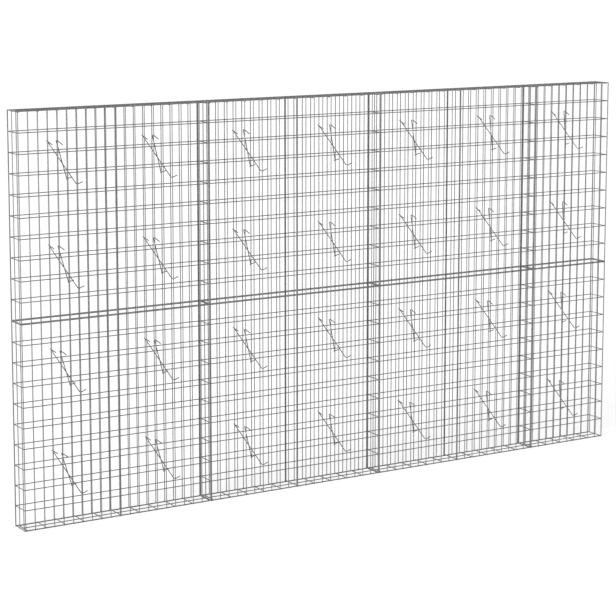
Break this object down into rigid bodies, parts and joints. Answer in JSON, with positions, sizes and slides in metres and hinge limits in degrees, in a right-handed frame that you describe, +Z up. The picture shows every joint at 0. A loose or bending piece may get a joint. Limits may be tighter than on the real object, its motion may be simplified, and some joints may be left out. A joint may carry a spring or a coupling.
{
  "type": "gabion wall",
  "caption": "Empty free-standing gabion wall of welded-wire mesh: long, tall and thin, in tiers and bays, with inner partitions and hooked tie wires.",
  "frame": {"origin": "on the ground under the middle of the wall", "axes": "+X along the wall, +Y from the front face to the back face, +Z up"},
  "size_m": [3.5446, 0.1308, 2.0095],
  "materials": {
    "galvanised_wire": "hot-dip galvanised, dull"
  },
  "bodies": {
    "root": {"front_panel_lower_1": "galvanised_wire", "front_panel_lower_2": "galvanised_wire", "front_panel_lower_3": "galvanised_wire", "front_panel_lower_4": "galvanised_wire", "front_panel_lower_5": "galvanised_wire", "front_panel_lower_6": "galvanised_wire", "front_panel_lower_7": "galvanised_wire", "front_panel_upper_1": "galvanised_wire", "front_panel_upper_2": "galvanised_wire", "front_panel_upper_3": "galvanised_wire", "front_panel_upper_4": "galvanised_wire", "front_panel_upper_5": "galvanised_wire", "front_panel_upper_6": "galvanised_wire", "front_panel_upper_7": "galvanised_wire", "back_panel_lower_1": "galvanised_wire", "back_panel_lower_2": "galvanised_wire", "back_panel_lower_3": "galvanised_wire", "back_panel_lower_4": "galvanised_wire", "back_panel_lower_5": "galvanised_wire", "back_panel_lower_6": "galvanised_wire", "back_panel_lower_7": "galvanised_wire", "back_panel_upper_1": "galvanised_wire", "back_panel_upper_2": "galvanised_wire", "back_panel_upper_3": "galvanised_wire", "back_panel_upper_4": "galvanised_wire", "back_panel_upper_5": "galvanised_wire", "back_panel_upper_6": "galvanised_wire", "back_panel_upper_7": "galvanised_wire", "left_end_panel_lower": "galvanised_wire", "left_end_panel_upper": "galvanised_wire", "right_end_panel_lower": "galvanised_wire", "right_end_panel_upper": "galvanised_wire", "partition_lower_1": "galvanised_wire", "partition_lower_2": "galvanised_wire", "partition_lower_3": "galvanised_wire", "partition_upper_1": "galvanised_wire", "partition_upper_2": "galvanised_wire", "partition_upper_3": "galvanised_wire", "base_strips": "galvanised_wire", "lid_1": "galvanised_wire", "lid_2": "galvanised_wire", "lid_3": "galvanised_wire", "lid_4": "galvanised_wire", "ties_lower": "galvanised_wire", "ties_upper": "galvanised_wire"}
  },
  "joints": []
}
